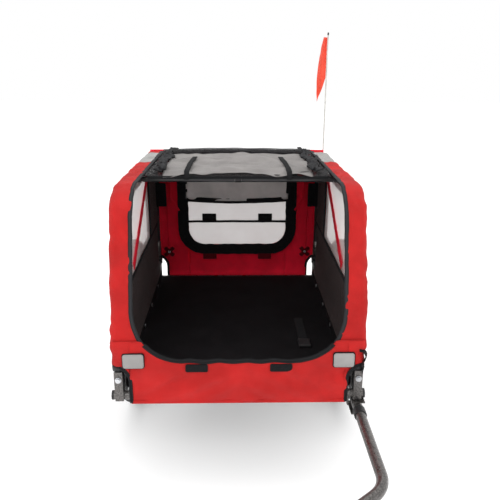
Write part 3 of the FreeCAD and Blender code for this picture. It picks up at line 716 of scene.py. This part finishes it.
def side_panels(side, sign):
    """Each side's dark lining, its window with a strip across it, and the red cloth outside."""
    body = f"{side}_side"
    inside, outside = sign * (SIDE_X - 0.0035), sign * (SIDE_X + 0.0045)
    rail_inset = 0.004

    def top(y):
        """Underside of the hoop, which ends the cloth."""
        best = rail_height(y) - TUBE_R - rail_inset
        (y0, z0), (y1, z1) = HOOP[1], HOOP[2]
        lean = z0 + (z1 - z0) * (y - y0 - 0.012) / (y1 - y0)
        return max(KNEE_Z, min(best, lean))

    def band(start, stop, low, high):
        def spot(x, u, v):
            y = start + (stop - start) * u
            a, b = low(y), max(high(y), low(y) + 0.002)
            return Vector((x, y, a + (b - a) * v))
        return spot

    def pleats(point, u, v):
        fine = 0.0016 * math.sin(point.y * 210 + 2.5 * noise.noise(point * 7))
        fine *= 0.4 + noise.noise(point * 6)
        return (fine + lumps(point, 0.06, 0.002, sign)) * math.sin(math.pi * min(1, max(0, v)))

    front, rear = 0.026, LENGTH - 0.012
    straight = band(front, rear - 0.012, lambda y: 0.026, lambda y: SEAM_Z)

    def lower(x, u, v):
        """The lining's foot leans in to the floor's hem."""
        point = straight(x, u, v)
        lean = min(1, max(0, (0.085 - point.z) / 0.055))
        point.x -= sign * 0.0080 * lean * lean * (3 - 2 * lean)
        return point

    back = band(WINDOW_REAR, rear, lambda y: SEAM_Z, top)
    glass = band(0.040, WINDOW_REAR, lambda y: min(SEAM_Z, top(y)), top)
    seam = [Vector((inside, y, SEAM_Z)) for y in (0.036, 0.3, rear)]
    post = [Vector((inside, WINDOW_REAR, z)) for z in (SEAM_Z, 0.3, top(WINDOW_REAR))]
    rim = [Vector((inside, y, top(y) - 0.004)) for y in (0.040 + 0.010 * k for k in range(57))]
    parts = [tape(f"{side}_seam_binding", seam, UP, 0.009, "tape", body, 0.003, 0.0006),
             tape(f"{side}_post_binding", post, BACK, 0.010, "tape", body, 0.003, 0.0006),
             tape(f"{side}_rim_binding", rim, lambda p: (0, -0.2, 1), 0.012, "tape", body, 0.003)]
    strip = [Vector((inside, 0.570, 0.415)), Vector((inside, 0.420, 0.327)), Vector((inside, 0.262, 0.236))]
    parts.append(tape(f"{side}_window_strip", strip, (0, -0.5, 0.86), 0.030, "red_inside", body, 0.002,
                      0.001))
    lining = cloth(f"{side}_lining", lambda u, v: lower(inside, u, v), (110, 22), "lining", body, pleats,
                   0.001, [f"{side}_side_lining"])
    cloth(f"{side}_rear_lining", lambda u, v: back(inside, u, v), (22, 28), "lining", body, pleats, 0.001)
    cloth(f"{side}_window_sheet", lambda u, v: glass((inside + outside) / 2, u, v), (60, 24), "film", body,
          lambda p, u, v: lumps(p, 0.1, 0.002, sign), 0.0006,
          [f"{side}_side_window"])
    outer = band(0.026, LENGTH - 0.020, lambda y: 0.038, lambda y: SEAM_Z)
    outer_back = band(WINDOW_REAR, rear, lambda y: SEAM_Z, top)
    for label, spot, steps in (("outer_skirt", outer, (90, 22)), ("outer_rear", outer_back, (22, 28))):
        cloth(f"{side}_{label}", lambda u, v, s=spot: s(outside, u, v), steps, "red", body,
              lambda p, u, v: sign * lumps(p, 0.07, 0.0018, 2 * sign), 0.0012)
    outside_line = outside + sign * 0.0016
    tape(f"{side}_outer_seam", [Vector((outside_line, y, SEAM_Z)) for y in (0.036, 0.3, rear)], UP, 0.010,
         "tape", body, 0.0024)
    tape(f"{side}_outer_post", [Vector((outside_line, WINDOW_REAR, z)) for z in (SEAM_Z, 0.3,
                                                                                 top(WINDOW_REAR))],
         BACK, 0.010, "tape", body, 0.0024)
    return lining


def uprights(side, sign):
    """Wrap tabs round the rear upright, feet and collars above the brackets, and the spare strap."""
    body = f"{side}_side"
    ring = [(x + sign * SIDE_X, y + LENGTH) for x, y in arc((0, 0), TUBE_R + 0.0025, 0, 360, 24)]
    for k, height in enumerate((0.075, 0.317)):
        width = 0.030 if height < 0.1 else 0.083
        band = [Vector((x, y, height)) for x, y in ring]
        tape(f"{side}_wrap_{k}", band, UP, width, "fuzzy", body, 0.0022, 0.0008)
    if side == "left":
        spare = [(0.284, 0.128), (0.296, 0.124), (0.302, 0.112), (0.298, 0.100), (0.291, 0.091),
                 (0.297, 0.080), (0.294, 0.068)]
        tape("spare_strap", [Vector((x, -0.019, z)) for x, z in spare], (0.35, 0.93, 0.1), 0.016, "webbing",
             body, 0.0022, 0.0006)
    pad(f"{side}_wrap_tab", (sign * 0.268, LENGTH - 0.015, 0.317), (0.040, 0.083), "fuzzy",
        body, 0.003, 0.08)
    foot = [(TUBE_R + 0.0004, -0.026), (TUBE_R + 0.0012, -0.025), (TUBE_R + 0.0012, 0.045),
            (TUBE_R + 0.0004, 0.046)]
    for name, y in (("front", 0), ("rear", LENGTH)):
        turned(f"{side}_{name}_foot", foot, (sign * SIDE_X, y, 0.098), UP, "hammered", body)
    collar = [(TUBE_R + 0.0005, -0.009), (TUBE_R + 0.004, -0.008), (TUBE_R + 0.0045, 0),
              (TUBE_R + 0.004, 0.008), (TUBE_R + 0.0005, 0.009)]
    for name, y in (("front", 0), ("rear", LENGTH)):
        turned(f"{side}_{name}_collar", collar, (sign * SIDE_X, y, 0.078), UP, "plastic", body)


def roof():
    """The mesh roof with the opened front cover laid back on it, its roll, its zips and the straps."""
    front, rear, gap, half = FRONT_BAR_Y, LENGTH + 0.010, 0.0155, 0.252

    def mesh_spot(u, v):
        x, y = half * (2 * u - 1), front + (rear - front) * v
        crown = 0.006 * (1 - (x / half) ** 2)
        drop = 0.0070 * math.exp(-(y - front) / 0.015)
        return Vector((x, y, rail_height(y) + gap + crown * min(1, (y - front) / 0.05) - drop))

    def mesh_relief(point, u, v):
        return lumps(point, 0.08, 0.003) - 0.004 * math.sin(math.pi * v)

    net = cloth("roof_net", mesh_spot, (54, 58), "mesh", "frame", mesh_relief, 0.0008,
                ["roof_mesh", "roof_strips"])
    bar_line = [Vector((x, front - 0.001, rail_height(front) + 0.0065)) for x in (-0.240, 0, 0.240)]
    hem = tape("roof_front_hem", bar_line, (0, 0.35, 1), 0.008, "tape", "frame", 0.004, 0.0008)

    cover_half, roll_y = 0.200, 0.590

    def cover_height(y):
        """The opened cover rises from the front bar to the top of its own folds."""
        return rail_height(y) + 0.0110 + 0.0130 * (1 - math.exp(-max(0, y - front + 0.004) / 0.05))

    def cover_spot(u, v):
        x, y = cover_half * (2 * u - 1), front - 0.004 + (roll_y - front + 0.004) * v
        return Vector((x, y, cover_height(y) + 0.006 * (1 - (x / cover_half) ** 2)))

    def cover_relief(point, u, v):
        ripple = 0.0056 * math.sin(point.y * 150 + 7 * noise.noise(Vector((point.x * 5, point.y * 4, 0))))
        return ripple * (0.4 + noise.noise(point * 8)) + lumps(point, 0.04, 0.0075, 2)

    turns = 2.4
    roll_line = []
    for k in range(61):
        turn = turns * 2 * math.pi * k / 60
        radius = 0.0105 - 0.0022 * turn / (2 * math.pi)
        roll_line.append((roll_y + 0.012 + radius * math.sin(turn), radius * (1 - math.cos(turn)) - 0.001))

    def roll_spot(u, v):
        place = v * 60
        k = min(int(place), 59)
        (y0, z0), (y1, z1) = roll_line[k], roll_line[k + 1]
        share = place - k
        x = (cover_half + 0.004) * (2 * u - 1)
        lift = 0.0020 * noise.noise(Vector((x * 12, 1, 0))) + 0.003 * (1 - (x / cover_half) ** 2)
        return Vector((x, y0 + (y1 - y0) * share,
                       rail_height(roll_y) + gap + 0.0055 + lift + z0 + (z1 - z0) * share))

    roll = cloth("cover_roll", roll_spot, (50, 60), "mesh", "frame", lambda p, u, v: lumps(p, 0.03, 0.0012),
                 0.0008)
    made = [net, hem, roll]
    parts = []
    for side, sign in SIDES.items():
        for k, (x, width, height) in enumerate(((0.214, 0.022, 0.011), (0.205, 0.014, 0.016))):
            line = [Vector((sign * (x + 0.006 * math.sin(y * 31 + k)), y, rail_height(y) + gap + height))
                    for y in (front + 0.004 + 0.0115 * i for i in range(36))]
            parts.append(tape(f"{side}_cover_zip_{k}", line, (1, 0, 0.3 * sign), width, "zip", "frame",
                              0.0035, 0.0085, seed=sign * 4 + k))
        strap = [Vector((sign * 0.136, front - 0.010, rail_height(front) + 0.002)),
                 Vector((sign * 0.136, front - 0.009, rail_height(front) + 0.012)),
                 Vector((sign * 0.136, front - 0.003, cover_height(front) + 0.010))]
        strap += [Vector((sign * (0.136 - 0.06 * (y - front)), y, cover_height(y) + 0.0110))
                  for y in (front + 0.008 + 0.022 * i for i in range(9))]
        made.append(tape(f"{side}_cover_strap", strap, ACROSS, 0.014, "webbing", "frame", 0.0022, 0.0010,
                         seed=sign))
        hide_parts("cover_straps")
    cover = cloth("front_cover", cover_spot, (64, 60), "cover", "frame", cover_relief, 0.0008,
                  ["folded_front_cover"])
    crumples(*made, *parts, cover)


def rear_wall():
    """The red rear wall with its U-shaped window, the flap over it, tabs and corner patches."""
    half, low, corner_r = 0.175, 0.127, 0.060
    top = rail_height(LENGTH) + 0.014
    cut_r, cut_z, base = 0.045, 0.043, -0.010
    inner_y = REAR_Y - 0.003

    def bottom(x):
        near = abs(x) - (HALF - cut_r)
        if near <= 0:
            return base
        return cut_z + math.sqrt(max(0, cut_r ** 2 - (HALF - abs(x)) ** 2))

    def sill(x):
        """Lower edge of the window opening."""
        over = max(0, abs(x) - (half - corner_r))
        return low + corner_r - math.sqrt(max(0, corner_r ** 2 - min(over, corner_r) ** 2))

    def bulge(x, z):
        return 0.005 * math.sin(math.pi * min(1, max(0, z / top))) * (1 - (x / HALF) ** 2)

    def patch(x0, x1, floor_of, ceiling_of):
        def spot(u, v):
            x = x0 + (x1 - x0) * u
            a, b = floor_of(x), ceiling_of(x)
            z = a + (b - a) * v
            return Vector((x, REAR_Y + bulge(x, z), z))
        return spot

    def relief(point, u, v):
        crease = 0.0022 * math.sin(point.z * 60 + abs(point.x) * 130) * noise.noise(point * 7)
        return lumps(point, 0.075, 0.0050, 1) + lumps(point, 0.03, 0.0016, 7) + crease

    edge = HALF + 0.002
    step = HALF - cut_r
    pieces = [("rear_wall_middle", patch(-half, half, bottom, sill), (60, 18)),
              ("rear_wall_header", patch(-half, half, lambda x: top - 0.028, lambda x: top), (60, 4))]
    for side, sign in SIDES.items():
        pieces.append((f"rear_wall_{side}", patch(sign * half, sign * step, bottom, lambda x: top), (12, 56)))
        pieces.append((f"rear_wall_{side}_edge", patch(sign * (step + 1e-5), sign * edge, bottom,
                                                       lambda x: top), (10, 56)))
    outline = [(half + 0.018, top - 0.03)] + [(half + 0.018, z) for z in (0.36, 0.28, low + corner_r)]
    outline += arc((half - corner_r, low + corner_r), corner_r + 0.018, 0, -90, 16)[1:]
    whole = outline + [(-x, z) for x, z in reversed(outline)]
    line = [Vector((x, inner_y - 0.001 + bulge(x, z), z)) for x, z in whole]

    def from_middle(p):
        """The band lies across its own line, flat on the wall."""
        return Vector((p.x, 0, min(0, p.z - 0.2)))

    parts = [tape("window_band", line, from_middle, 0.038, "fuzzy",
                  "frame", 0.004, 0.0020, 0.004)]
    outer_line = [Vector((p.x, REAR_Y + 0.0035 + bulge(p.x, p.z), p.z)) for p in line]
    parts.append(tape("outer_window_binding", outer_line,
                      from_middle, 0.016, "tape", "frame", 0.003,
                      0.0008))
    sheet_spot = patch(-half - 0.004, half + 0.004, lambda x: sill(x) - 0.003, lambda x: top - 0.026)
    window = cloth("rear_window_sheet", lambda u, v: sheet_spot(u, v) - Vector((0, 0.001, 0)), (40, 36),
                   "film", "frame",
                   lambda p, u, v: lumps(p, 0.09, 0.003, 3), 0.0006,
                   ["rear_window"])

    def flap_edge(x):
        return 0.296 - 0.007 * (1 - (x / half) ** 2)

    flap_spot = patch(-half - 0.006, half + 0.006, flap_edge, lambda x: top - 0.024)
    flap = cloth("window_flap", lambda u, v: flap_spot(u, v) - Vector((0, 0.006, 0)), (50, 24), "flap",
                 "frame",
                 lambda p, u, v: lumps((p.x, 0, p.z * 2.2), 0.06, 0.006, 5) + lumps(p, 0.02, 0.0016, 5),
                 0.0008)
    for name, heights, width, key in (("flap_hem", flap_edge, 0.018, "tape"),
                                      ("window_line", lambda x: 0.214, 0.008, "tape")):
        line = [Vector((x, inner_y - 0.004 + bulge(x, 0.25), heights(x))) for x in (0.180 * (2 * k / 30 - 1)
                                                                                    for k in range(31))]
        parts.append(tape(name, line, UP, width, key, "frame", 0.003, 0.0008))
    for side, sign in SIDES.items():
        inner = inner_y - 0.005
        parts.append(pad(f"{side}_window_tab", (sign * 0.100, inner, 0.231), (0.050, 0.026),
                         "fuzzy", "frame", 0.003, 0.06))
        parts.append(pad(f"{side}_wall_tab", (sign * 0.100, inner + 0.003, 0.082), (0.048, 0.020),
                         "dark_red", "frame", 0.003, 0.06))
        for k in range(4):
            turn = math.radians(45 + 90 * k)
            spread = Vector((math.cos(turn), 0, math.sin(turn)))
            parts.append(pad(f"{side}_rosette_{k}", Vector((sign * 0.247, inner + 0.004,
                                                            0.100)) + spread * 0.011,
                             (0.022, 0.014), "dark_red", "frame", 0.003, 0.3,
                             spread, Vector((-spread.z, 0, spread.x))))
        parts.append(turned(f"{side}_rosette_rivet", [(0.0045, 0.002), (0.0042, -0.001), (0.0025, -0.0022)],
                            (sign * 0.247, inner + 0.001, 0.100), BACK, "steel", "frame"))
        arch = [(step, base), (step, cut_z)] + [(HALF - cut_r * math.cos(t), cut_z + cut_r * math.sin(t))
                                                for t in (math.radians(6 * k) for k in range(1, 15))]
        line = [Vector((sign * x, REAR_Y - 0.0005, z)) for x, z in arch]
        centre = Vector((sign * HALF, REAR_Y, cut_z))
        parts.append(tape(f"{side}_rear_cutout_binding", line, lambda p,
                          c=centre: Vector(((p - c).x, 0, max(0, (p - c).z))),
                          0.009, "tape", "frame", 0.004))
        seam = [Vector((sign * 0.236, inner + 0.004, z)) for z in (top - 0.01, 0.36, 0.30)]
        seam += [Vector((sign * (0.236 - 0.030 * t), inner + 0.004, 0.30 - 0.045 * t)) for t in (0.3, 0.6,
                                                                                                 1.0)]
        parts.append(tape(f"{side}_wall_fold", seam, ACROSS, 0.006, "red_inside", "frame", 0.004, 0.002))
    made = [window, flap]
    for name, spot, steps in pieces:
        made.append(cloth(name, spot, steps, "red_inside", "frame", relief, 0.0014,
                          ["rear_wall"] if name == "rear_wall_middle" else ()))
    crumples(*made, *parts)


def pennant():
    """The limp flag on its thin pole."""
    low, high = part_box("flag_pennant")
    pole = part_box("flag_pole")
    low, high = low - ORIGIN, high - ORIGIN
    x0, y0 = (pole[0].x + pole[1].x) / 2, (pole[0].y + pole[1].y) / 2 - ORIGIN.y
    top, drop = high.z, high.z - low.z

    def spot(u, v):
        z = top - drop * (0.62 * v + 0.38 * v * u)
        reach = u * (0.009 + 0.019 * math.sin(math.pi * min(1, v * 0.62 + 0.05)))
        fold = 0.012 * math.sin(u * 6.5 + v * 2.5) * u
        return Vector((x0 - 0.0025 - reach, y0 + fold, z))

    made = cloth("pennant", spot, (16, 40), "pennant", "flag", lambda p, u, v: lumps(p, 0.02, 0.0012), 0.0006,
                 ["flag_pennant"])
    tip = [(0.0010, -0.004), (0.0026, -0.003), (0.0026, 0.004), (0.0014, 0.0055)]
    turned("flag_cap", tip, (x0, y0, pole[1].z - ORIGIN.z - 0.006), UP, "plastic", "flag")
    return made


def wheel_extras(side, sign):
    """The valve in each rim."""
    low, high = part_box(f"{side}_rim")
    centre = (low + high) / 2 - ORIGIN
    turn = math.radians(261)
    way = Vector((0, math.cos(turn), math.sin(turn)))
    stem = [(0.004, 0.0), (0.0035, -0.004), (0.0026, -0.005), (0.0026, -0.022), (0.0034, -0.023),
            (0.0034, -0.030), (0.0024, -0.031)]
    inner = (high.z - low.z) / 2 - 0.0165
    turned(f"{side}_valve", stem, centre + way * inner, way, "plastic", f"{side}_wheel", 14)


# ---------------------------------------------------------------- finishes of the frame's own parts

def finish_frame():
    """Give each part that stays from the frame its finish."""
    finishes = {
        "hammered": ["crossbars", "base_rails", "axle_sleeves", "fold_brackets", "tow_bracket",
                     "tow_arm_tube", "hitch_yoke"],
        "steel": ["fold_bolts", "floor_snaps", "tow_pivot_bolt", "tow_pull_pin", "hitch_yaw_bolt",
                  "hitch_plate", "hitch_pin"],
        "plastic": ["end_plugs", "bar_sleeves", "tether_buckle", "tow_arm_collar", "flag_socket"],
        "webbing": ["tether_strap"],
        "rod": ["flag_pole"],
    }
    for side in SIDES:
        for key, parts in (("black_steel", ("side_hoop", "front_roof_bar", "rear_roof_bar")),
                           ("tyre", ("tyre",)),
                           ("plastic", ("bar_lugs", "release_button")), ("alloy", ("rim", "hub")),
                           ("steel", ("axle", "bearings", "spokes")), ("reflector", ("wheel_reflectors",))):
            finishes.setdefault(key, []).extend(f"{side}_{part}" for part in parts)
    for key, names in finishes.items():
        for name in names:
            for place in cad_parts[name].material_slots:
                place.material = look(key)


# ---------------------------------------------------------------- camera and light

def camera():
    """The photograph's view, from in front and above."""
    data = bpy.data.cameras.new("camera")
    data.sensor_width, data.lens = SENSOR_MM, FOCAL_MM
    view = bpy.data.objects.new("camera", data)
    pitch, yaw, roll = (math.radians(angle) for angle in (VIEW_PITCH, VIEW_YAW, VIEW_ROLL))
    turn = Matrix.Rotation(yaw, 4, "Z") @ Matrix.Rotation(math.pi / 2 - pitch, 4, "X")
    turn = turn @ Matrix.Rotation(roll, 4, "Z")
    view.matrix_world = Matrix.Translation(at(*VIEW_FROM)) @ turn
    bpy.context.scene.collection.objects.link(view)
    bpy.context.scene.camera = view


def light(name, place, aim, size, power):
    data = bpy.data.lights.new(name, "AREA")
    data.size, data.energy = size, power
    lamp = bpy.data.objects.new(name, data)
    way = Vector(aim) - Vector(place)
    lamp.matrix_world = Matrix.Translation(Vector(place)) @ way.to_track_quat("-Z", "Y").to_matrix().to_4x4()
    bpy.context.scene.collection.objects.link(lamp)


def studio():
    """A pale floor, a bright even sky and three soft lights."""
    world = bpy.data.worlds.new("studio")
    world.use_nodes = True
    world.node_tree.nodes["Background"].inputs["Color"].default_value = (1, 1, 1, 1)
    world.node_tree.nodes["Background"].inputs["Strength"].default_value = 1.0
    bpy.context.scene.world = world
    ground = bpy.data.meshes.new("ground")
    reach = 12.0
    ground.from_pydata([(-reach, -reach, -0.001), (reach, -reach, -0.001), (reach, reach, -0.001),
                        (-reach, reach, -0.001)], [], [(0, 1, 2, 3)])
    paint = Nodes("pale_floor", (0.93, 0.93, 0.93), 0.95, Specular_IOR_Level=0.1, Emission_Strength=0.20)
    paint.set("Emission Color", (1, 1, 1, 1))
    ground.materials.append(paint.material)
    floor_piece = bpy.data.objects.new("ground", ground)
    bpy.context.scene.collection.objects.link(floor_piece)
    light("key", (-1.4, -2.6, 2.6), (0, 0.2, 0.4), 1.6, 34)
    light("fill", (2.4, -1.6, 1.8), (0, 0.2, 0.4), 1.8, 12)
    light("top", (0.2, 0.6, 3.2), (0, 0.3, 0.4), 2.4, 26)
    bpy.context.scene.view_settings.view_transform = "Standard"


camera()
studio()
finish_frame()
front_panel()
floor_sheet()
for side_name, side_sign in SIDES.items():
    side_cover(side_name, side_sign)
    side_panels(side_name, side_sign)
    uprights(side_name, side_sign)
    wheel_extras(side_name, side_sign)
roof()
rear_wall()
pennant()
